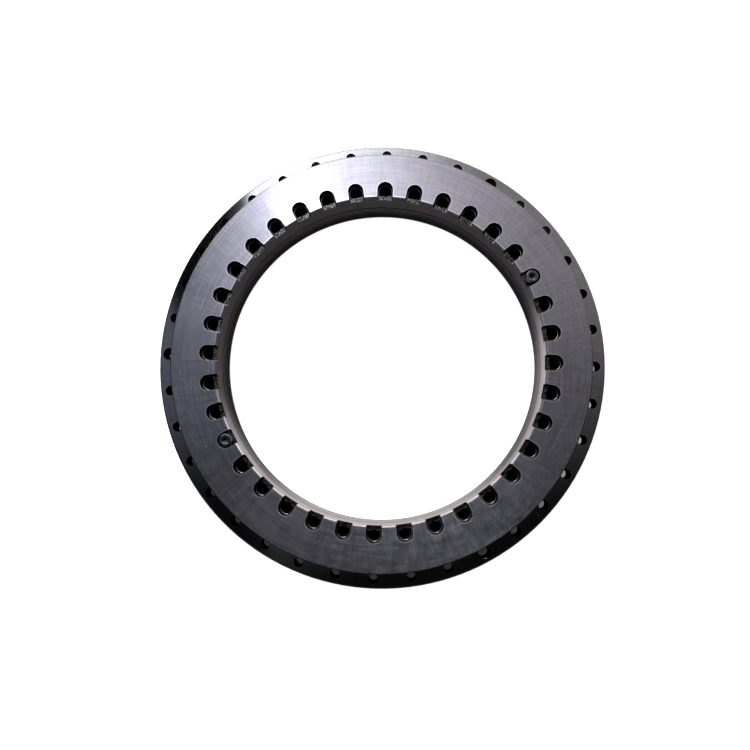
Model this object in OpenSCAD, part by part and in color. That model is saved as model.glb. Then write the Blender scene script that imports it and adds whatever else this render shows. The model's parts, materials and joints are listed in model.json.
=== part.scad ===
// Slewing ring bearing: a double-direction axial angular contact ball bearing
// for screw mounting. One outer ring, an inner ring split at mid-height, two
// rows of balls in segmented cages, two lip seals and two retaining screws.
// Millimetres. The rotation axis is +Z and the bottom face is at z = 0.

/* [Main dimensions] */
// Bore diameter of the inner ring
bore_d = 325; // [324:0.5:326]
// Outside diameter of the outer ring
outer_d = 450; // [449:0.5:452]
// Overall height
height = 60; // [60:0.5:62]
// Width of the outer ring
outer_ring_w = 20; // [19.5:0.5:20.5]
// Diameter of the inner ring's two flanges
flange_d = 415; // [414.8:0.1:415.2]

/* [Fixing holes] */
// Hole positions around each ring
hole_positions = 36; // [36]
// Pitch circle diameter of the holes in the inner ring
inner_pcd = 342; // [341.5:0.5:342.5]
// Pitch circle diameter of the holes in the outer ring
outer_pcd = 430; // [429.5:0.5:430.5]
// Diameter of the fixing holes, for M8 screws
fixing_d = 9.3; // [9:0.1:9.5]
// Width of the screw head pockets, which open into the bore
pocket_w = 15; // [14.8:0.1:15.2]
// Depth of the screw head pockets
pocket_depth = 8.2; // [8.1:0.1:8.6]
// Extraction threads in the outer ring
extraction_threads = 3; // [3]
// Nominal diameter of the extraction threads, M12
extraction_d = 12; // [12]
// Lubrication ports through the outer ring
lube_ports = 4; // [2, 4]
// Diameter of the lubrication ports
lube_d = 4; // [3:0.5:5]

/* [Balls and cages] */
// Ball diameter
ball_d = 13; // [12.8:0.1:13]
// Pitch circle diameter of both ball rows
ball_pcd = 384; // [384]
// Balls in each row
balls_per_row = 72; // [60, 66, 72]
// Contact angle, measured from the radial plane
contact_angle = 60; // [60]
// Height of each row's centre above or below the mid-plane
row_offset = 11.5; // [11.5]
// Raceway groove radius as a share of the ball diameter
conformity = 0.52; // [0.52:0.005:0.525]
// Clearance between a ball and its raceways
race_gap = 0.1; // [0.05:0.01:0.12]
// Cage segments in each row
cage_segments = 6; // [6]
// Thickness of the cages
cage_t = 3.6; // [3:0.1:3.6]
// Clearance between a ball and its cage pocket
cage_gap = 0.2; // [0.15:0.05:0.3]

/* [Seals] */
// Width of the seal body
seal_w = 3; // [2.8:0.1:3]
// Height of the seal body
seal_h = 3; // [2.5:0.1:3.5]

/* [Retaining screws] */
// Nominal diameter of the two retaining screws, M8
screw_d = 8; // [8]
// Length of the retaining screws under the head
screw_len = 35; // [30, 35]
// Diameter of the screw head
screw_head_d = 13; // [12.5:0.1:13]
// Width across flats of the hexagon socket
socket_af = 6; // [6]

/* [Edges] */
// Chamfer of the inner ring at its faces
inner_chamfer = 1; // [0.5:0.1:1.2]
// Chamfer of the outer ring's rim
rim_chamfer = 1.5; // [1:0.1:2]
// Chamfer of the fixing holes
hole_chamfer = 0.5; // [0.3:0.1:0.6]
// Chamfer of the screw head pockets
pocket_chamfer = 0.4; // [0.2:0.1:0.5]
// Radius at the foot of the screw head pockets' walls
pocket_foot = 1.2; // [0.8:0.1:1.2]

/* [Hidden] */
$fn = 144;
cut = 1;                            // how far a cutting tool runs past a face

steel_ground = [0.46, 0.47, 0.50];
steel_flange = [0.40, 0.42, 0.46];
steel_ball = [0.80, 0.81, 0.83];
black_oxide = [0.10, 0.10, 0.11];
cage_polyamide = [0.72, 0.62, 0.42];
seal_rubber = [0.07, 0.07, 0.08];

mid = height / 2;                   // height of the mid-plane
half_w = outer_ring_w / 2;
bore_r = bore_d / 2;
outer_r = outer_d / 2;
flange_r = flange_d / 2;
pitch_angle = 360 / hole_positions;
joint_chamfer = 0.5;                // both inner rings, where they meet

// Ball row: the contact line runs down and outwards to the outer ring
ball_r = ball_d / 2;
row_r = ball_pcd / 2;
contact = [cos(contact_angle), -sin(contact_angle)];
groove_r = conformity * ball_d;
groove_shift = groove_r - ball_r - race_gap;
row_centre = [row_r, row_offset];
outer_groove_centre = row_centre - groove_shift * contact;
inner_groove_centre = row_centre + groove_shift * contact;

// Inner ring section, measured from the mid-plane
sleeve_r = row_r - 10.5;            // outside of the sleeve between the ball rows
relief_z = row_offset + ball_r;     // ceiling over the cage
relief_r = row_r + 9;               // outer wall of the space over the cage
skirt_z = half_w + 0.5;             // underside of the flange, over the outer ring
seal_r = relief_r + 1.3;            // inside of the seal groove
seal_gap = 0.02;                    // between the seal body and its groove
lip_gap = 0.05;                     // between the seal lip and the outer ring

// Outer ring section, measured from the mid-plane
rib_r = row_r - 9;                  // bore of the rib between the ball rows
rib_z = row_offset - ball_r;        // half the thickness of the rib
land_z = half_w - 0.5;              // face under the inner ring's flange
land_r = flange_r + 0.8;            // where the mounting face starts

// Cage section: a band square to the contact line
cage_along = [sin(contact_angle), cos(contact_angle)];
cage_reach = ball_r + 2.1;          // from the ball centre to a cage rim
cage_slot = 0.6;                    // gap between neighbouring segments

thread_step = hole_positions / extraction_threads;
first_thread = thread_step / 4;     // position number of the first extraction thread
screw_step = hole_positions / 2;    // the retaining screws sit on opposite sides
screw_gap = 0.02;                   // between a retaining screw and its thread
thread_depth = screw_len - (mid - pocket_depth) + 2.8;

function is_extraction(i) = (i - first_thread) % thread_step == 0;
function is_retaining(i) = i % screw_step == 0;
function mirrored(points) = [for (i = [len(points) - 1:-1:0]) [points[i].x, -points[i].y]];

// Places its children at position i of a hole circle
module at_hole(pcd, i) {
  rotate([0, 0, i * pitch_angle])
    translate([pcd / 2, 0, 0])
      children();
}

// A through hole from z0 to z1, with a chamfer at each end that is not zero
module drilled(d, z0, z1, low_chamfer, high_chamfer) {
  translate([0, 0, z0 - cut])
    cylinder(d = d, h = z1 - z0 + 2 * cut);
  if (low_chamfer > 0)
    translate([0, 0, z0 - cut])
      cylinder(r1 = d / 2 + low_chamfer + cut, r2 = d / 2, h = low_chamfer + cut);
  if (high_chamfer > 0)
    translate([0, 0, z1 - high_chamfer])
      cylinder(r1 = d / 2, r2 = d / 2 + high_chamfer + cut, h = high_chamfer + cut);
}

// Section of the whole outer ring
module outer_section() {
  half = [
    [rib_r + joint_chamfer, rib_z], [row_r, rib_z], [row_r, land_z],
    [land_r, land_z], [land_r, half_w], [outer_r - rim_chamfer, half_w],
    [outer_r, half_w - rim_chamfer]
  ];
  tip = [rib_r, rib_z - joint_chamfer];
  difference() {
    polygon(concat([tip], half, mirrored(concat([tip], half))));
    for (side = [-1, 1])
      translate([outer_groove_centre.x, side * outer_groove_centre.y])
        circle(r = groove_r);
  }
}

module outer_ring() {
  color(steel_flange)
    translate([0, 0, mid])
      difference() {
        rotate_extrude() outer_section();
        for (i = [0:hole_positions - 1])
          at_hole(outer_pcd, i)
            if (is_extraction(i))
              drilled(extraction_d, -half_w, half_w, hole_chamfer, hole_chamfer);
            else
              drilled(fixing_d, -half_w, half_w, hole_chamfer, hole_chamfer);
        for (i = [0:lube_ports - 1])
          rotate([0, 90, 45 + i * 360 / lube_ports])
            translate([0, 0, rib_r - cut])
              cylinder(d = lube_d, h = outer_r - rib_r + 2 * cut);
      }
}

// Section of the upper inner ring, with the mid-plane at zero
module inner_section() {
  difference() {
    polygon([
      [bore_r + joint_chamfer, 0], [sleeve_r - joint_chamfer, 0],
      [sleeve_r, joint_chamfer], [sleeve_r, row_offset], [row_r, row_offset],
      [row_r, relief_z], [relief_r, relief_z], [relief_r, skirt_z],
      [flange_r - joint_chamfer, skirt_z], [flange_r, skirt_z + joint_chamfer],
      [flange_r, mid - inner_chamfer], [flange_r - inner_chamfer, mid],
      [bore_r + inner_chamfer, mid], [bore_r, mid - inner_chamfer],
      [bore_r, joint_chamfer]
    ]);
    translate(inner_groove_centre)
      circle(r = groove_r);
    translate([seal_r, skirt_z - cut])
      square([seal_w, seal_h + cut]);
  }
}

// Half section of a screw head pocket, from its axis outwards, with a rounded foot
module pocket_half() {
  pocket_r = pocket_w / 2;
  floor_z = mid - pocket_depth;
  polygon([
    [0, floor_z], [pocket_r - pocket_foot, floor_z], [pocket_r, floor_z + pocket_foot],
    [pocket_r, mid - pocket_chamfer], [pocket_r + pocket_chamfer + cut, mid + cut], [0, mid + cut]
  ]);
  translate([pocket_r - pocket_foot, floor_z + pocket_foot])
    circle(r = pocket_foot);
}

// Cutter for one screw head pocket: round at the back, open towards the bore
module pocket() {
  rotate([0, 0, -90])
    rotate_extrude(angle = 180)
      pocket_half();
  rotate([90, 0, -90])
    linear_extrude(inner_pcd / 2 - bore_r + cut) {
      pocket_half();
      mirror([1, 0])
        pocket_half();
    }
}

module upper_inner_ring() {
  color(steel_ground)
    translate([0, 0, mid])
      difference() {
        rotate_extrude() inner_section();
        for (i = [0:hole_positions - 1])
          at_hole(inner_pcd, i) {
            drilled(fixing_d, 0, mid, 0, 0);
            pocket();
          }
      }
}

module lower_inner_ring() {
  color(steel_ground)
    translate([0, 0, mid])
      difference() {
        mirror([0, 0, 1])
          rotate_extrude() inner_section();
        for (i = [0:hole_positions - 1])
          at_hole(inner_pcd, i)
            if (is_retaining(i))
              translate([0, 0, -thread_depth])
                cylinder(d = screw_d + 2 * screw_gap, h = thread_depth + cut);
            else
              drilled(fixing_d, -mid, 0, hole_chamfer, 0);
      }
}

// One row of balls; side is 1 for the upper row and -1 for the lower row
module ball_row(side) {
  color(steel_ball)
    for (i = [0:balls_per_row - 1])
      rotate([0, 0, (i + 0.5) * 360 / balls_per_row])
        translate([row_r, 0, mid + side * row_offset])
          sphere(d = ball_d);
}

module upper_balls() { ball_row(1); }

module lower_balls() { ball_row(-1); }

// Section of the cage of the upper row, with the mid-plane at zero
module cage_section() {
  low = row_centre - cage_reach * cage_along;
  high = row_centre + cage_reach * cage_along;
  step = cage_t / 2 * contact;
  polygon([low + step, high + step, high - step, low - step]);
}

// Cage segment number n, with an equal share of the row's pockets. Each pocket's sphere is turned so
// that its poles lie on the contact line, outside the cage
module cage_segment(side, n) {
  share = 360 / cage_segments;
  slot = cage_slot / row_r * 180 / PI;
  count = balls_per_row / cage_segments;
  color(cage_polyamide)
    translate([0, 0, mid])
      mirror([0, 0, side > 0 ? 0 : 1])
        rotate([0, 0, (n - 1) * share])
          difference() {
            rotate([0, 0, slot / 2])
              rotate_extrude(angle = share - slot) cage_section();
            for (i = [0:count - 1])
              rotate([0, 0, (i + 0.5) * share / count])
                translate([row_r, 0, row_offset])
                  rotate([0, 90 + contact_angle, 0])
                    sphere(r = ball_r + cage_gap);
          }
}

// Section of the upper seal: a body in the flange's groove and a lip under it
module seal_section() {
  body_r = seal_r + seal_gap;
  body_w = seal_w - 2 * seal_gap;
  lip_z = land_z + lip_gap;
  lip_r = seal_r + seal_w + 1;
  translate([body_r, skirt_z])
    square([body_w, seal_h - seal_gap]);
  polygon([
    [body_r, skirt_z], [body_r, skirt_z - 0.4], [lip_r - 0.5, lip_z],
    [lip_r, lip_z + 0.1], [body_r + 1.8, skirt_z]
  ]);
}

module upper_seal() {
  color(seal_rubber)
    translate([0, 0, mid])
      rotate_extrude() seal_section();
}

module lower_seal() {
  color(seal_rubber)
    translate([0, 0, mid])
      mirror([0, 0, 1])
        rotate_extrude() seal_section();
}

// A socket head cap screw, its head resting at zero and its shank downwards
module cap_screw() {
  head_r = screw_head_d / 2;
  head_h = screw_d;
  shank_r = screw_d / 2;
  edge = 0.8;
  end_chamfer = 1.2;
  socket_r = socket_af / sqrt(3);
  socket_depth = 4;
  mouth = 0.4;
  difference() {
    rotate_extrude()
      polygon([
        [0, -screw_len], [shank_r - end_chamfer, -screw_len],
        [shank_r, -screw_len + end_chamfer], [shank_r, 0], [head_r - 0.3, 0],
        [head_r, 0.3], [head_r, head_h - edge], [head_r - edge, head_h], [0, head_h]
      ]);
    translate([0, 0, head_h - socket_depth])
      cylinder(r = socket_r, h = socket_depth + cut, $fn = 6);
    translate([0, 0, head_h - socket_depth - 1])
      cylinder(r1 = 0.5, r2 = socket_af / 2 - 0.1, h = 1.001);
    translate([0, 0, head_h - mouth])
      cylinder(r1 = socket_af / 2, r2 = socket_af / 2 + mouth + cut, h = mouth + cut);
  }
}

module retaining_screws() {
  color(black_oxide)
    for (i = [0:hole_positions - 1])
      if (is_retaining(i))
        at_hole(inner_pcd, i)
          translate([0, 0, height - pocket_depth])
            cap_screw();
}

outer_ring();
upper_inner_ring();
lower_inner_ring();
upper_balls();
lower_balls();
cage_segment(1, 1);  // upper_cage_segment_1
cage_segment(1, 2);  // upper_cage_segment_2
cage_segment(1, 3);  // upper_cage_segment_3
cage_segment(1, 4);  // upper_cage_segment_4
cage_segment(1, 5);  // upper_cage_segment_5
cage_segment(1, 6);  // upper_cage_segment_6
cage_segment(-1, 1);  // lower_cage_segment_1
cage_segment(-1, 2);  // lower_cage_segment_2
cage_segment(-1, 3);  // lower_cage_segment_3
cage_segment(-1, 4);  // lower_cage_segment_4
cage_segment(-1, 5);  // lower_cage_segment_5
cage_segment(-1, 6);  // lower_cage_segment_6
upper_seal();
lower_seal();
retaining_screws();
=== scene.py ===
"""Looks of a double-direction axial angular contact ball bearing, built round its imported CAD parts.

Metres, +Z up, origin on the axis at the lower face. Angles are in degrees, counted from +X towards +Y.
"""

import json
import math
from types import SimpleNamespace

import bmesh
import bpy
from mathutils import Matrix, Vector


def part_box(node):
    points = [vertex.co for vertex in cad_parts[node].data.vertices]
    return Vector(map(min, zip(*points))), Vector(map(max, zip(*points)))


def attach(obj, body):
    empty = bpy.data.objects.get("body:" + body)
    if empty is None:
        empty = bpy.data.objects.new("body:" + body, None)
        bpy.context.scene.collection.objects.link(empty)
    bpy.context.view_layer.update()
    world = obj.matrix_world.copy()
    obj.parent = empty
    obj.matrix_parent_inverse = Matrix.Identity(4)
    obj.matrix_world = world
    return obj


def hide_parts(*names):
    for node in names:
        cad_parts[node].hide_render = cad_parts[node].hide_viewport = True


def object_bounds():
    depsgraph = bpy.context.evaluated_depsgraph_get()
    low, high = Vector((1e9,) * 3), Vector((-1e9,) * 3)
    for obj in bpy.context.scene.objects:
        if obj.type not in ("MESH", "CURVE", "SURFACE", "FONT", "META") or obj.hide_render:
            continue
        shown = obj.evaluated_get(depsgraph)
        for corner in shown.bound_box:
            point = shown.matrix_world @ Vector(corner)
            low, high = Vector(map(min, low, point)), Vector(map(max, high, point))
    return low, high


MM = 0.001

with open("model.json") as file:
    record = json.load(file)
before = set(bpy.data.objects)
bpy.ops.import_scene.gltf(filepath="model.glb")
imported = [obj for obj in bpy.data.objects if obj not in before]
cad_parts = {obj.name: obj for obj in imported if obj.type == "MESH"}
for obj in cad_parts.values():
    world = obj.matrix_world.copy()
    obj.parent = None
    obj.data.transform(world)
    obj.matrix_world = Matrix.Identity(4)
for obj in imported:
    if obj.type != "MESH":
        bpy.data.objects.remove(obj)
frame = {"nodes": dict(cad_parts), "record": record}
cad_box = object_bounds()


# ---------------------------------------------------------------- sizes, from the frame

def mount(name):
    """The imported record's mount of that name."""
    return next(m for m in frame["record"]["mounts"] if m["name"] == name)


def outer_radius(node):
    """Radius of a round node about the axis."""
    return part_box(node)[1].x


MID_Z = (cad_box[0].z + cad_box[1].z) / 2
TOP_Z = cad_box[1].z
HALF_HEIGHT = TOP_Z - MID_Z
BORE_R = mount("centre_bore")["dims"]["r_mm"] * MM
FLANGE_R = outer_radius("upper_inner_ring")
RIM_R = outer_radius("outer_ring")
RIM_LOW, RIM_HIGH = (corner.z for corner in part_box("outer_ring"))
INNER_PITCH_R = mount("inner_fixing_holes_90_deg")["dims"]["spacing_y_mm"] * MM / 2
HOLE_R = mount("inner_fixing_holes_90_deg")["dims"]["hole_r_mm"] * MM
EXTRACTION = mount("extraction_threads")["dims"]
OUTER_PITCH_R = EXTRACTION["pcd_mm"] * MM / 2
EXTRACTION_ANGLES = (30, 150, 270)
SCREW_ANGLES = (0, 180)
POSITIONS = 36                               # hole positions round each ring
POCKET_W = 15 * MM                           # width of a screw head pocket
CHAMFER = 1.0 * MM                           # along the bore's ends


# ---------------------------------------------------------------- shader nodes

class Shader:
    """A node tree being written. Each method adds one node and returns its output."""

    def __init__(self, tree):
        self.tree = tree
        tree.nodes.clear()

    def add(self, kind, output=0, settings=None, **inputs):
        """A node with its settings and inputs. An input's name has _ for each space."""
        node = self.tree.nodes.new(kind)
        for key, value in (settings or {}).items():
            setattr(node, key, value)
        for key, value in inputs.items():
            self.feed(node.inputs[key.replace("_", " ")], value)
        return node.outputs[output] if node.outputs else node

    def feed(self, socket, value):
        """Links an output to the socket, or sets the socket's own value."""
        if isinstance(value, bpy.types.NodeSocket):
            self.tree.links.new(value, socket)
        elif value is not None:
            socket.default_value = value

    def math(self, operation, *values, clamp=False):
        """A Math node, its inputs in order."""
        node = self.tree.nodes.new("ShaderNodeMath")
        node.operation = operation
        node.use_clamp = clamp
        for socket, value in zip(node.inputs, values):
            self.feed(socket, value)
        return node.outputs[0]

    def plus(self, a, b):
        """The sum of two numbers."""
        return self.math("ADD", a, b)

    def minus(self, a, b, clamp=False):
        """The first number less the second, held from 0 to 1 if clamped."""
        return self.math("SUBTRACT", a, b, clamp=clamp)

    def times(self, first, *factors):
        """The product of numbers, with one node for each factor after the first."""
        product = first
        for factor in factors:
            product = self.math("MULTIPLY", product, factor)
        return product

    def most(self, a, b):
        """The larger of two numbers."""
        return self.math("MAXIMUM", a, b)

    def swing(self, value, share):
        """A factor about 1 from a value of 0 to 1, that spans share from end to end."""
        return self.plus(1.0, self.times(self.minus(value, 0.5), share))

    def vector(self, operation, *values, output=0):
        """A Vector Math node, its inputs in order."""
        node = self.tree.nodes.new("ShaderNodeVectorMath")
        node.operation = operation
        for socket, value in zip(node.inputs, values):
            self.feed(socket, value)
        return node.outputs[output]

    def scaled(self, vector, factor):
        """A vector, or a colour's three numbers, times a factor."""
        node = self.tree.nodes.new("ShaderNodeVectorMath")
        node.operation = "SCALE"
        self.feed(node.inputs["Vector"], vector)
        self.feed(node.inputs["Scale"], factor)
        return node.outputs[0]

    def length(self, vector):
        """The length of a vector."""
        return self.vector("LENGTH", vector, output=1)

    def dot(self, a, b):
        """The dot product of two vectors."""
        return self.vector("DOT_PRODUCT", a, b, output=1)

    def combine(self, x, y, z):
        """One vector from three numbers."""
        return self.add("ShaderNodeCombineXYZ", X=x, Y=y, Z=z)

    def split(self, vector):
        """The three numbers of a vector."""
        node = self.tree.nodes.new("ShaderNodeSeparateXYZ")
        self.feed(node.inputs[0], vector)
        return node.outputs

    def noise(self, vector, scale, detail=2.0, roughness=0.5):
        """Noise from 0 to 1 about 0.5."""
        return self.add("ShaderNodeTexNoise", Vector=vector, Scale=scale, Detail=detail, Roughness=roughness)

    def fade(self, value, low, high):
        """0 where value is at low and 1 where it is at high, smooth between; low may be above high."""
        return self.add("ShaderNodeMapRange", 0, {"interpolation_type": "SMOOTHSTEP"},
                        Value=value, From_Min=low, From_Max=high)

    def blend(self, factor, a, b):
        """a where factor is 0 and b where it is 1: two numbers, or two colours."""
        node = self.tree.nodes.new("ShaderNodeMix")
        kinds = [getattr(x, "type", "VALUE") for x in (a, b)]
        colours = isinstance(a, tuple) or isinstance(b, tuple) or "RGBA" in kinds or "VECTOR" in kinds
        node.data_type = "RGBA" if colours else "FLOAT"
        first = 6 if colours else 2
        self.feed(node.inputs[0], factor)
        self.feed(node.inputs[first], a)
        self.feed(node.inputs[first + 1], b)
        return node.outputs[first // 3]

    def bump(self, height, depth):
        """A normal from a height of 0 to 1 times depth in metres."""
        return self.add("ShaderNodeBump", Strength=1.0, Distance=depth, Height=height)

    def surface(self, **inputs):
        """The Principled shader on the material's output."""
        shader = self.add("ShaderNodeBsdfPrincipled", **inputs)
        self.add("ShaderNodeOutputMaterial", Surface=shader)


def new_material(name):
    """An empty node material and the Shader that writes it."""
    material = bpy.data.materials.new(name)
    material.use_nodes = True
    return material, Shader(material.node_tree)


def grey(level, tint=(1, 1, 1)):
    """A colour from its level and a tint."""
    return (level * tint[0], level * tint[1], level * tint[2], 1)


def aim(azimuth, zenith):
    """The direction at an azimuth, zenith degrees down from straight up."""
    a, t = math.radians(azimuth), math.radians(zenith)
    return Vector((math.sin(t) * math.cos(a), math.sin(t) * math.sin(a), math.cos(t)))


def place_of(s):
    """Object coordinates round the axis: point, z, radius, and the direction with its two parts."""
    at = SimpleNamespace()
    at.point = s.add("ShaderNodeTexCoord", "Object")
    x, y, at.z = s.split(at.point)
    flat = s.combine(x, y, 0.0)
    at.radius = s.length(flat)
    at.direction = s.vector("NORMALIZE", flat)
    at.cosine, at.sine, _ = s.split(at.direction)
    return at


def facing(s, at):
    """Adds how far the surface faces along the axis, flat or smooth, and round it, each from 0 to 1."""
    geometry = s.tree.nodes.new("ShaderNodeNewGeometry")
    normal = geometry.outputs["True Normal"]
    x, y, _ = s.split(geometry.outputs["Position"])
    outward = s.vector("NORMALIZE", s.combine(x, y, 0.0))
    radial = s.math("ABSOLUTE", s.dot(normal, outward))
    at.axial = s.math("ABSOLUTE", s.split(normal)[2])
    squares = s.plus(s.math("POWER", radial, 2.0), s.math("POWER", at.axial, 2.0))
    at.around = s.math("SQRT", s.minus(1.0, squares, clamp=True))
    at.smooth_axial = s.math("ABSOLUTE", s.split(geometry.outputs["Normal"])[2])


def from_nearest_hole(s, at, pitch_r):
    """Where the place is from the nearest hole position on a bolt circle: outward, and round the ring."""
    step = 2 * math.pi / POSITIONS
    angle = s.math("ARCTAN2", at.sine, at.cosine)
    position = s.math("ROUND", s.math("DIVIDE", angle, step))
    turn = s.minus(angle, s.times(position, step))
    outward = s.minus(s.times(at.radius, s.math("COSINE", turn)), pitch_r)
    return outward, s.times(at.radius, s.math("SINE", turn))


# ---------------------------------------------------------------- materials

# Grinding marks: cells of noise per metre, and round a circle of radius 1
CIRCLES_PER_M = 640.0
CIRCLES_ROUND = 4.0
RINGS_PER_M = 300.0
RINGS_ROUND = 2.0
STROKES_PER_M = 40.0
STROKES_ROUND = 130.0
FACE_MARK_DEPTH = 0.0008 * MM
BORE_MARK_DEPTH = 0.02 * MM

# Grains of the steel's other noise, in cells per metre
STAIN_GRAIN = 16.0
SMEAR_GRAIN = 95.0
HUE_GRAIN = 130.0
SPECK_GRAIN = 430.0
SOOT_GRAIN = 700.0

# Sooty zones of the rings, with painted shadow on pocket floors and painted highlights by edges
# Black of the soot on walls, also used as painted shadow on the pocket floors away from the bore
SOOT_AND_SHADOW_LEVELS = (0.001, 0.004)
SOOT_ROUGH = 0.50
SOOT_DEPTH = 0.02 * MM
FLOOR_COLOURS = (grey(0.01, (1, 0.94, 0.95)), grey(0.28, (1, 0.93, 0.96)))
FLOOR_ROUGH = (0.16, 0.28)
FOOT_LEVEL = 0.55
FOOT_ROUGH = 0.07
SPECK_LEVEL = 0.80
SPECK_ROUGH = 0.32
STAIN_SHADE = 0.90
# Painted highlights: how much lighter the faces are by the edges of pockets, bore and holes
INNER_PAINTED_HIGHLIGHT = 1.6
OUTER_PAINTED_HIGHLIGHT = 1.3
CHAMFER_SHADE = 0.45


def streaks(s, x, y, z, detail, roughness):
    """Noise of strong contrast, from 0 to 1, at the point that three numbers give."""
    return s.fade(s.noise(s.combine(x, y, z), 1.0, detail, roughness), 0.3, 0.7)


def grinding_marks(s, at, is_face):
    """Fine circles and radial strokes on the faces, and fine rings up the bore and the rim."""
    circles = streaks(s, s.times(at.radius, CIRCLES_PER_M), s.times(at.cosine, CIRCLES_ROUND),
                      s.times(at.sine, CIRCLES_ROUND), 3.0, 0.7)
    rings = streaks(s, s.times(at.z, RINGS_PER_M), s.times(at.cosine, RINGS_ROUND),
                    s.times(at.sine, RINGS_ROUND), 4.0, 0.7)
    strokes = streaks(s, s.times(at.cosine, STROKES_ROUND), s.times(at.sine, STROKES_ROUND),
                      s.times(at.radius, STROKES_PER_M), 3.0, 0.6)
    return s.blend(is_face, rings, s.plus(s.times(circles, 0.55), s.times(strokes, 0.45)))


def bare_colour(s, at, is_face, marks, stains, level, tint):
    """Bare ground steel: two near hues, lighter and darker marks, and faint darker stains."""
    hue = s.fade(s.noise(at.point, HUE_GRAIN, 4.0, 0.7), 0.35, 0.65)
    warm = grey(level, (tint[0] * 1.015, tint[1] * 0.99, tint[2] * 0.985))
    cool = grey(level, (tint[0] * 0.985, tint[1] * 1.01, tint[2] * 1.015))
    steel = s.scaled(s.blend(hue, warm, cool), s.swing(marks, s.blend(is_face, 0.24, 0.38)))
    return s.scaled(steel, s.blend(s.fade(stains, 0.50, 0.75), 1.0, STAIN_SHADE))


def bare_rough(s, at, is_face, marks, face_rough):
    """Roughness of bare ground steel, with the marks and some smears of oil."""
    smears = s.fade(s.noise(at.point, SMEAR_GRAIN, 5.0, 0.65), 0.40, 0.62)
    rough = s.plus(s.swing(marks, 0.16), s.times(s.minus(smears, 0.5), 0.13))
    return s.times(rough, s.blend(is_face, 0.17, face_rough))


def ring_steel(name, level, tint, face_rough, face_stretch, zones):
    """Hardened steel with ground faces, bore and rim, with painted highlights, soot and painted shadow where
    zones says.
    """
    material, s = new_material(name)
    at = place_of(s)
    facing(s, at)
    is_face = s.fade(at.axial, 0.90, 0.97)
    marks = grinding_marks(s, at, is_face)
    stains = s.noise(at.point, STAIN_GRAIN, 5.0, 0.6)
    specks = s.times(s.fade(s.noise(at.point, SPECK_GRAIN, 0.0, 0.5), 0.80, 0.86),
                     s.fade(stains, 0.52, 0.60), is_face)
    soot = s.fade(s.noise(at.point, SOOT_GRAIN, 4.0, 0.7), 0.35, 0.70)
    shade, wall, floor, foot = zones(s, at)

    colour = s.blend(specks, bare_colour(s, at, is_face, marks, stains, level, tint), grey(SPECK_LEVEL))
    # shade lightens the steel with the painted highlights by the edges
    colour = s.scaled(colour, shade)
    # Soot on the walls, and painted shadow over the pocket floors away from the bore
    colour = s.blend(wall, colour, s.blend(soot, grey(SOOT_AND_SHADOW_LEVELS[0]), grey(SOOT_AND_SHADOW_LEVELS[1])))
    colour = s.blend(floor, colour, s.blend(s.fade(soot, 0.2, 0.9), *FLOOR_COLOURS))
    colour = s.blend(foot, colour, grey(FOOT_LEVEL))

    rough = s.blend(specks, bare_rough(s, at, is_face, marks, face_rough), SPECK_ROUGH)
    rough = s.blend(wall, rough, SOOT_ROUGH)
    rough = s.blend(floor, rough, s.blend(soot, *FLOOR_ROUGH))
    rough = s.blend(foot, rough, FOOT_ROUGH)

    depth = s.blend(floor, s.blend(is_face, BORE_MARK_DEPTH, FACE_MARK_DEPTH), SOOT_DEPTH)
    black = s.most(s.most(wall, floor), foot)
    stretch = s.times(s.minus(1.0, black), s.blend(is_face, 0.4, face_stretch))
    tangent = s.add("ShaderNodeTangent", 0, {"direction_type": "RADIAL", "axis": "Z"})
    s.surface(Base_Color=colour, Metallic=s.minus(1.0, wall), Specular_IOR_Level=0.03, Roughness=rough,
              Normal=s.bump(s.blend(floor, marks, soot), depth),
              Anisotropic=stretch, Anisotropic_Rotation=0.25, Tangent=tangent)
    return material


def painted_edge_highlights(s, at, height, from_pocket):
    """Painted highlights: lighter bands on the faces, round the pockets and along the bore."""
    on_face = s.fade(height, HALF_HEIGHT - 0.3 * MM, HALF_HEIGHT - 0.1 * MM)
    from_edge = s.math("MINIMUM", from_pocket, s.minus(at.radius, BORE_R + CHAMFER))
    return s.times(s.fade(from_edge, 1.5 * MM, 0.7 * MM), on_face)


def bore_lines(s, at, height):
    """Dark lines in the bore: at the joint between the two rings, and fainter ones beside the chamfers."""
    in_bore = s.fade(at.radius, BORE_R + 1.3 * MM, BORE_R + 1.2 * MM)
    joint = s.fade(height, 1.2 * MM, 0.9 * MM)
    from_end_line = s.math("ABSOLUTE", s.minus(height, HALF_HEIGHT - 1.9 * MM))
    end_line = s.times(s.fade(from_end_line, 0.8 * MM, 0.5 * MM), 0.5)
    return s.times(s.most(joint, end_line), in_bore)


def blackened_pockets(s, at, height, outward):
    """The black inside pockets and holes: sooty walls, painted shadow over the floors away from the bore,
    floors on the bore's side, and rounded feet of walls.
    """
    below_face = s.fade(height, HALF_HEIGHT - 0.02 * MM, HALF_HEIGHT - 0.10 * MM)
    by_pockets = s.fade(at.radius, INNER_PITCH_R + 12 * MM, INNER_PITCH_R + 11.9 * MM)
    off_bore = s.fade(at.radius, BORE_R + CHAMFER, BORE_R + CHAMFER + 0.1 * MM)
    sideways = s.fade(at.around, 0.3, 0.5)
    flat = s.fade(at.axial, 0.85, 0.95)
    black = s.times(below_face, by_pockets, s.most(s.most(off_bore, sideways), flat))
    rounded = s.times(s.fade(at.smooth_axial, 0.88, 0.93), s.fade(at.smooth_axial, 0.992, 0.985))
    foot = s.times(black, rounded)
    bore_side = s.times(s.fade(outward, -3.9 * MM, -4.5 * MM), s.fade(at.smooth_axial, 0.985, 0.992))
    floor = s.times(black, bore_side)
    # Painted shadow: the pocket floors away from the bore stay as black as the sooty walls
    wall = s.minus(black, s.plus(foot, floor), clamp=True)
    return wall, floor, foot


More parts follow.
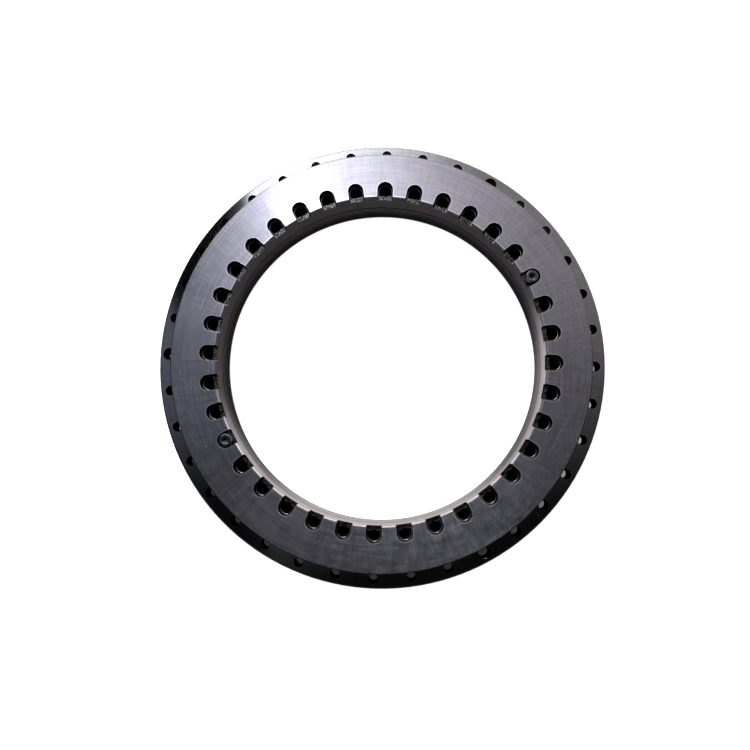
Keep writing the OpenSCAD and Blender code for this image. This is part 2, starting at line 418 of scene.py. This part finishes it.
def inner_zones(s, at):
    """Inner rings: shade of the bare steel with painted highlights, then black walls and lines with painted
    shadow on pocket floors, the floors by the bore, and walls' feet.
    """
    height = s.math("ABSOLUTE", s.minus(at.z, MID_Z))
    outward, aside = from_nearest_hole(s, at, INNER_PITCH_R)
    from_pocket = s.minus(s.length(s.combine(s.most(outward, 0.0), aside, 0.0)), POCKET_W / 2)
    # Painted highlight along the pockets' and the bore's edges
    painted_highlight = painted_edge_highlights(s, at, height, from_pocket)
    wall, floor, foot = blackened_pockets(s, at, height, outward)
    chamfer = s.times(s.fade(height, HALF_HEIGHT - CHAMFER - 0.05 * MM, HALF_HEIGHT - CHAMFER + 0.05 * MM),
                      s.fade(at.axial, 0.5, 0.6), s.fade(at.axial, 0.9, 0.8))
    shade = s.times(s.blend(painted_highlight, 1.0, INNER_PAINTED_HIGHLIGHT), s.blend(chamfer, 1.0, CHAMFER_SHADE))
    return shade, s.most(wall, bore_lines(s, at, height)), floor, foot


def outer_zones(s, at):
    """Outer ring: shade of the bare steel with painted highlights round the holes, then the blackened holes
    with their chamfers.
    """
    outward, aside = from_nearest_hole(s, at, OUTER_PITCH_R)
    from_hole = s.minus(s.length(s.combine(outward, aside, 0.0)), HOLE_R)
    off_face = s.fade(at.axial, 0.97, 0.90)
    on_face = s.fade(at.axial, 0.98, 0.99)
    wall = s.times(s.fade(from_hole, 2.0 * MM, 1.9 * MM), off_face)
    # Painted highlight round the holes
    painted_highlight = s.times(s.fade(from_hole, 1.6 * MM, 0.9 * MM), on_face)
    return s.blend(painted_highlight, 1.0, OUTER_PAINTED_HIGHLIGHT), wall, 0.0, 0.0


def ball_steel():
    """Lapped bearing steel."""
    material, s = new_material("ball_steel_lapped")
    tint = (0.98, 0.99, 1)
    haze = s.noise(s.add("ShaderNodeTexCoord", "Object"), 300.0, 3.0, 0.6)
    s.surface(Base_Color=s.blend(haze, grey(0.62, tint), grey(0.74, tint)),
              Metallic=1.0, Roughness=s.blend(haze, 0.05, 0.13))
    return material


def cage_polyamide():
    """Natural glass-filled polyamide, with a faint flow pattern."""
    material, s = new_material("cage_polyamide_moulded")
    at = place_of(s)
    stretched = s.combine(s.times(at.z, 300.0), s.times(at.cosine, 30.0), s.times(at.sine, 30.0))
    flow = s.noise(stretched, 1.0, 4.0, 0.6)
    grain = s.noise(at.point, 1800.0, 2.0, 0.6)
    s.surface(Base_Color=s.blend(flow, grey(1.0, (0.55, 0.44, 0.26)), grey(1.0, (0.68, 0.58, 0.39))),
              Roughness=s.blend(grain, 0.42, 0.60), Subsurface_Weight=0.08, Subsurface_Scale=1.5 * MM,
              Normal=s.bump(grain, 0.02 * MM))
    return material


def seal_rubber():
    """Black nitrile rubber."""
    material, s = new_material("seal_rubber_nitrile")
    grain = s.noise(s.add("ShaderNodeTexCoord", "Object"), 1500.0, 3.0, 0.6)
    s.surface(Base_Color=s.blend(grain, grey(0.012), grey(0.03)), Roughness=s.blend(grain, 0.50, 0.68),
              Normal=s.bump(grain, 0.03 * MM))
    return material


def black_oxide():
    """Blackened screw steel under a film of oil."""
    material, s = new_material("screw_black_oxide")
    point = s.add("ShaderNodeTexCoord", "Object")
    grain = s.noise(point, 1200.0, 3.0, 0.6)
    wear = s.fade(s.noise(point, 500.0, 3.0, 0.6), 0.62, 0.75)
    s.surface(Base_Color=s.blend(wear, grey(0.12, (0.86, 0.97, 1.16)), grey(0.26)), Metallic=0.92,
              Roughness=s.blend(grain, 0.14, 0.24), Coat_Weight=0.8, Coat_Roughness=0.06,
              Normal=s.bump(grain, 0.008 * MM))
    return material


def floor_paint():
    """The plain pale floor, which the camera sees glowing, with painted shade under the ring, and which the
    steel mirrors with painted light and shade.
    """
    material, s = new_material("floor_paint")
    at = place_of(s)
    path = s.tree.nodes.new("ShaderNodeLightPath")
    colour = s.blend(s.noise(at.point, 6.0, 3.0, 0.5), grey(0.80), grey(0.84))

    # Painted light and shade in what the steel mirrors: the floor is bright in the bore and towards one side
    # only, darker by the bore's wall
    painted_light_outside = s.blend(s.fade(s.dot(at.direction, tuple(aim(40, 90))), 0.25, 0.95), 0.04, 1.0)
    painted_shade_by_wall = s.blend(s.fade(s.dot(at.direction, tuple(aim(244, 90))), 0.60, 0.95), 0.25, 0.85)
    in_bore = s.blend(s.fade(at.radius, BORE_R - 11 * MM, BORE_R - 4 * MM), 1.2, painted_shade_by_wall)
    level = s.blend(s.fade(at.radius, BORE_R, BORE_R + 1.0 * MM), in_bore, painted_light_outside)
    # Painted reflection: a warm tint on the floor only where the steel mirrors it
    mirrored = s.vector("MULTIPLY", s.scaled(colour, level), (1.0, 0.935, 0.885))
    paint = s.add("ShaderNodeBsdfPrincipled", Roughness=0.8,
                  Base_Color=s.blend(path.outputs["Is Glossy Ray"], colour, mirrored))

    # The camera sees it glow, except under the ring: there the glow gives way to painted shadow, with
    # painted light coming in from one side
    painted_shadow_under_ring = s.times(s.fade(at.radius, BORE_R - 0.5 * MM, BORE_R + 1.0 * MM),
                      s.fade(at.radius, RIM_R + 5.0 * MM, RIM_R + 3.0 * MM))
    lit = s.dot(at.direction, tuple(aim(6, 90)))
    # Painted light under the ring: the glow rises towards one side
    under = s.times(s.fade(at.radius, FLANGE_R - 8 * MM, FLANGE_R - 4 * MM),
                    s.blend(s.fade(lit, 0.85, 1.0), s.times(s.fade(lit, 0.0, 0.6), 0.30), 1.0))
    glow = s.add("ShaderNodeEmission", Color=grey(1.0),
                 Strength=s.times(path.outputs["Is Camera Ray"], s.blend(painted_shadow_under_ring, 1.0, under)))
    both = s.add("ShaderNodeAddShader")
    s.feed(both.node.inputs[0], paint)
    s.feed(both.node.inputs[1], glow)
    s.add("ShaderNodeOutputMaterial", Surface=both)
    return material


# ---------------------------------------------------------------- pieces

def new_piece(name, mesh_data, body, material):
    """An object from a bmesh, riding on a body and taking its finish from a slot."""
    mesh = bpy.data.meshes.new(name)
    mesh_data.to_mesh(mesh)
    mesh_data.free()
    mesh.materials.append(material)
    piece = bpy.data.objects.new(name, mesh)
    bpy.context.scene.collection.objects.link(piece)
    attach(piece, body)
    return piece


def on_circle(radius, angle, z=0.0):
    """A point at a radius and an angle in radians."""
    return Vector((radius * math.cos(angle), radius * math.sin(angle), z))


def extraction_thread(name, angle, material):
    """The M12 thread ridge in one extraction hole: a closed helical ridge that fades out at both ends."""
    root_r = EXTRACTION["hole_r_mm"] * MM
    pitch = 1.75 * MM
    crest_depth = 0.88 * MM
    bed = 0.03 * MM                          # how far the ridge is let into the wall
    margin = 1.4 * MM                        # between the ridge's ends and the faces
    steps = 48                               # around one turn
    run_out = 0.75 * steps                   # steps over which an end fades
    end_share = 0.08                         # of the full ridge, at its very ends
    turns = (RIM_HIGH - RIM_LOW - 2 * margin) / pitch
    count = round(turns * steps)
    centre = on_circle(OUTER_PITCH_R, math.radians(angle))
    data = bmesh.new()
    rows = []
    for i in range(count + 1):
        turn = 2 * math.pi * i / steps
        z = RIM_LOW + margin + pitch * i / steps
        share = min(1.0, end_share + i / run_out, end_share + (count - i) / run_out)
        crest_r = root_r - crest_depth * share
        half_foot = pitch * 0.44 * share
        half_crest = pitch * 0.07
        outline = ((root_r + bed, -half_foot), (crest_r, -half_crest), (crest_r, half_crest),
                   (root_r + bed, half_foot))
        rows.append([data.verts.new(centre + on_circle(r, turn, z + dz)) for r, dz in outline])
    for low, high in zip(rows, rows[1:]):
        bridge(data, low, high)
    data.faces.new(rows[0][::-1])
    data.faces.new(rows[-1])
    bmesh.ops.recalc_face_normals(data, faces=data.faces)
    return new_piece(name, data, "outer_ring_body", material)


def lathe_row(data, centre, radii, z):
    """A closed row of points about centre at height z, one for each radius in turn."""
    count = len(radii)
    return [data.verts.new(centre + on_circle(r, 2 * math.pi * i / count, z)) for i, r in enumerate(radii)]


def bridge(data, low, high):
    """Quads between two rows of the same count."""
    count = len(low)
    for i in range(count):
        data.faces.new((low[i], low[(i + 1) % count], high[(i + 1) % count], high[i]))


def hexagon_radius(across_flats, angle):
    """Radius of a hexagon at an angle from one of its corners."""
    sector = math.radians(60)
    return across_flats / 2 / math.cos(angle % sector - sector / 2)


def cap_screw(name, angle, material):
    """An M8 socket head cap screw with a knurled head, a hexagon socket and a rolled thread."""
    low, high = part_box("retaining_screws")
    head_r, head_h = 6.5 * MM, 8.0 * MM
    across_flats, socket_depth = 6.0 * MM, 4.0 * MM
    pitch, thread_depth = 1.25 * MM, 0.62 * MM
    shank_r = 3.95 * MM                     # a little under M8, as a rolled thread's crest is
    tip_h = 1.0 * MM                        # of the plain, chamfered tip
    seat = high.z - head_h
    thread_end = seat - 7.0 * MM
    around = 144                            # points round the screw: two for each knurl ridge
    knurl = 0.14 * MM
    knurl_rows = 14
    entry_r = across_flats / 2 / math.cos(math.radians(30)) + 0.25 * MM
    centre = on_circle(INNER_PITCH_R, math.radians(angle))
    data = bmesh.new()

    def ring(radius, z):
        return lathe_row(data, centre, [radius] * around, z)

    def ridged(z):
        return lathe_row(data, centre, [head_r - (knurl if i % 2 else 0.0) for i in range(around)], z)

    def threaded(z):
        run_in = max(0.0, min(1.0, (thread_end - z) / pitch))
        radii = []
        for i in range(around):
            phase = (z / pitch - i / around) % 1.0
            tooth = max(0.0, min(1.0, 3.2 * abs(phase - 0.5) - 0.25))
            radii.append(shank_r - thread_depth * (1 - tooth) * run_in)
        return lathe_row(data, centre, radii, z)

    def socket_ring(z, share):
        """The socket's outline at share 1, and a circle over it at share 0."""
        radii = []
        for i in range(around):
            hexagon = hexagon_radius(across_flats, 2 * math.pi * i / around)
            radii.append(share * hexagon + (1 - share) * entry_r)
        return lathe_row(data, centre, radii, z)

    # From the tip up: thread, shank, under the head, knurl, the head's rounded top, and down the socket
    rows = [ring(shank_r - 1.35 * MM, low.z), ring(shank_r - 0.65 * MM, low.z + 0.7 * MM)]
    steps = round((thread_end - low.z - tip_h) / (pitch / 8))
    rows += [threaded(low.z + tip_h + i * pitch / 8) for i in range(steps + 1)]
    rows += [ring(shank_r, thread_end + 0.2 * MM),
             ring(shank_r, seat - 0.5 * MM),
             ring(shank_r + 0.3 * MM, seat),
             ring(head_r - 0.45 * MM, seat),
             ring(head_r - 0.15 * MM, seat + 0.12 * MM),
             ring(head_r - knurl, seat + 0.5 * MM)]
    for i in range(knurl_rows + 1):
        rows.append(ridged(seat + 0.8 * MM + i * (head_h - 2.2 * MM) / knurl_rows))
    rows += [ring(head_r - knurl, high.z - 1.1 * MM),
             ring(head_r - 0.25 * MM, high.z - 0.75 * MM),
             ring(head_r - 0.55 * MM, high.z - 0.25 * MM),
             ring(head_r - 0.85 * MM, high.z - 0.05 * MM),
             ring(head_r - 1.10 * MM, high.z),
             socket_ring(high.z, 0.0),
             socket_ring(high.z - 0.30 * MM, 0.7),
             socket_ring(high.z - 0.50 * MM, 1.0),
             socket_ring(high.z - socket_depth + 0.1 * MM, 1.0),
             ring(across_flats / 2 - 0.3 * MM, high.z - socket_depth)]
    for a, b in zip(rows, rows[1:]):
        bridge(data, a, b)
    for row, z in ((rows[0], low.z), (rows[-1], high.z - socket_depth - 1.0 * MM)):
        tip = data.verts.new(centre + Vector((0, 0, z)))
        for i in range(around):
            data.faces.new((row[i], row[(i + 1) % around], tip))
    bmesh.ops.recalc_face_normals(data, faces=data.faces)
    piece = new_piece(name, data, "inner_ring_body", material)
    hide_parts("retaining_screws")
    return piece


# ---------------------------------------------------------------- floor, lights and camera

def make_floor():
    """A wide pale disc under the bearing."""
    data = bmesh.new()
    bmesh.ops.create_circle(data, cap_ends=True, radius=12.0, segments=96)
    mesh = bpy.data.meshes.new("floor")
    data.to_mesh(mesh)
    data.free()
    mesh.materials.append(floor_paint())
    floor = bpy.data.objects.new("floor", mesh)
    floor.location.z = cad_box[0].z - 0.2 * MM
    bpy.context.scene.collection.objects.link(floor)


# The mirrored room. In the window's plane, u grows to its left and v downwards, seen from the bearing,
# both as shares of the distance to it.
WINDOW_AZIMUTH = 80
WINDOW_ZENITH = 24
WINDOW_SLANT = 0.31                          # of its left edge, above the middle
GLASS_LIGHT = 1.85
GLASS_LOW_SHARE = 0.4                        # of the glass's light that its lower part keeps
SUN_LIGHT = 1.5
CURTAIN_LIGHT = 0.34
PATCH_LIGHT = 0.17                           # of a bluish patch of wall to the left of the window
HORIZON_AZIMUTH = 57
HORIZON_LIGHT = 3.4
ROOM_LIGHT = 0.20
FAINT_LIGHT = 0.006                          # all over the mirrored room
EVEN_LIGHT = 0.06                            # on what scatters light
DAYLIGHT_TINT = (0.95, 1.02, 1.09)
PATCH_TINT = (0.86, 0.98, 1.20)
ROOM_TINT = (1.0, 0.98, 0.90)
HORIZON_TINT = (1.0, 0.97, 0.84)


def window(s, u, v, in_front):
    """Light of the window's glass, of the sun near its left edge, and of a curtain right of that edge."""
    slanted = s.plus(u, s.times(s.math("MINIMUM", v, 0.0), WINDOW_SLANT))
    left_edge = s.times(s.fade(slanted, 0.095, 0.079), in_front)
    lower = s.blend(s.fade(v, 0.15, 0.45), 1.0, GLASS_LOW_SHARE)
    glass = s.times(s.fade(v, -0.26, -0.185), left_edge, s.fade(u, -0.26, -0.02), lower)
    sun_width = s.times(s.fade(u, -0.03, 0.01), s.fade(u, 0.065, 0.045))
    sun = s.times(s.fade(v, -0.26, -0.15), sun_width, s.fade(v, 0.30, 0.15))
    curtain = s.times(CURTAIN_LIGHT, left_edge, s.fade(v, -0.67, -0.12))
    return s.plus(s.plus(s.times(GLASS_LIGHT, glass), s.times(SUN_LIGHT, sun)), curtain)


def make_world():
    """Even light for what scatters it; for what mirrors it, a dark room with a tall window on one side."""
    world = bpy.data.worlds.new("studio")
    bpy.context.scene.world = world
    world.use_nodes = True
    s = Shader(world.node_tree)
    direction = s.add("ShaderNodeTexCoord", "Generated")

    def along(azimuth, zenith):
        return s.dot(direction, tuple(aim(azimuth, zenith)))

    ahead = along(WINDOW_AZIMUTH, WINDOW_ZENITH)
    u = s.math("DIVIDE", along(WINDOW_AZIMUTH + 90, 90), ahead)
    v = s.math("DIVIDE", along(WINDOW_AZIMUTH, WINDOW_ZENITH + 90), ahead)
    in_front = s.fade(ahead, 0.02, 0.10)
    panes = window(s, u, v, in_front)
    patch = s.times(PATCH_LIGHT, s.fade(u, 0.235, 0.265), s.fade(v, -0.45, -0.15), in_front)

    # Near the horizon the room is bright on the window's side, and a little lit all round
    up = s.split(direction)[2]
    horizon = s.times(HORIZON_LIGHT, s.fade(up, 0.62, 0.35), s.fade(along(HORIZON_AZIMUTH, 90), 0.25, 0.70))
    beyond = s.most(s.minus(horizon, panes), 0.0)
    room = s.times(ROOM_LIGHT, s.fade(up, 0.78, 0.50))

    # Daylight is bluer towards the window's left edge
    daylight = s.blend(s.fade(u, -0.30, 0.10), grey(1.0), grey(1.0, DAYLIGHT_TINT))
    mirrored = s.scaled(daylight, s.plus(panes, FAINT_LIGHT))
    for tint, level in ((HORIZON_TINT, beyond), (ROOM_TINT, room), (PATCH_TINT, patch)):
        mirrored = s.vector("ADD", mirrored, s.scaled(tint, level))
    path = s.tree.nodes.new("ShaderNodeLightPath")
    colour = s.blend(path.outputs["Is Glossy Ray"], grey(EVEN_LIGHT), mirrored)
    colour = s.blend(path.outputs["Is Camera Ray"], colour, grey(1.0))
    s.add("ShaderNodeOutputWorld", Surface=s.add("ShaderNodeBackground", Color=colour))


def make_floor_light():
    """A soft square light over the bearing that the steel doesn't mirror."""
    lamp = bpy.data.lights.new("floor_light", "AREA")
    lamp.shape = "RECTANGLE"
    lamp.size, lamp.size_y = 0.50, 0.50
    lamp.energy = 60
    light = bpy.data.objects.new("floor_light", lamp)
    back = aim(79, 60)
    light.location = Vector((0, 0, TOP_Z)) + 2.0 * back
    light.rotation_mode = "QUATERNION"
    light.rotation_quaternion = back.to_track_quat("Z", "Y")
    light.visible_camera = False
    light.visible_glossy = False
    bpy.context.scene.collection.objects.link(light)


def make_camera():
    """Above the bore, with the screw at +X to the upper right."""
    place = Vector((-0.0263, -0.0833, 0.7122))
    target = Vector((-0.0114, -0.0097, 0.0300))
    picture_up = Vector((0.4711, 0.8758, 0.1048))
    forward = (target - place).normalized()
    right = forward.cross(picture_up).normalized()
    up = right.cross(forward)
    lens = bpy.data.cameras.new("camera")
    lens.sensor_width = 36.0
    lens.lens = 32.21
    lens.clip_start, lens.clip_end = 0.01, 50.0
    camera = bpy.data.objects.new("camera", lens)
    camera.matrix_world = Matrix.Translation(place) @ Matrix((right, up, -forward)).transposed().to_4x4()
    bpy.context.scene.collection.objects.link(camera)
    bpy.context.scene.camera = camera


# ---------------------------------------------------------------- the bearing

MATERIALS = {
    "outer_ring_steel": ring_steel("outer_ring_steel_ground", level=0.46, tint=(1.0, 0.96, 1.03),
                                   face_rough=0.06, face_stretch=0.3, zones=outer_zones),
    "inner_ring_steel": ring_steel("inner_ring_steel_ground", level=0.52, tint=(1.0, 0.945, 1.08),
                                   face_rough=0.178, face_stretch=0.95, zones=inner_zones),
    "ball_steel": ball_steel(),
    "cage_polyamide": cage_polyamide(),
    "seal_rubber": seal_rubber(),
    "screw_steel": black_oxide(),
}

for node in frame["nodes"].values():
    for slot_in_mesh in node.material_slots:
        slot_in_mesh.material = MATERIALS[slot_in_mesh.material.name.split(".")[0]]

for number, angle in enumerate(EXTRACTION_ANGLES, 1):
    extraction_thread(f"extraction_thread_{number}", angle, MATERIALS["outer_ring_steel"])
for number, angle in enumerate(SCREW_ANGLES, 1):
    cap_screw(f"retaining_screw_{number}", angle, MATERIALS["screw_steel"])

make_floor()
make_world()
make_floor_light()
make_camera()

scene = bpy.context.scene
scene.view_settings.view_transform = "Standard"
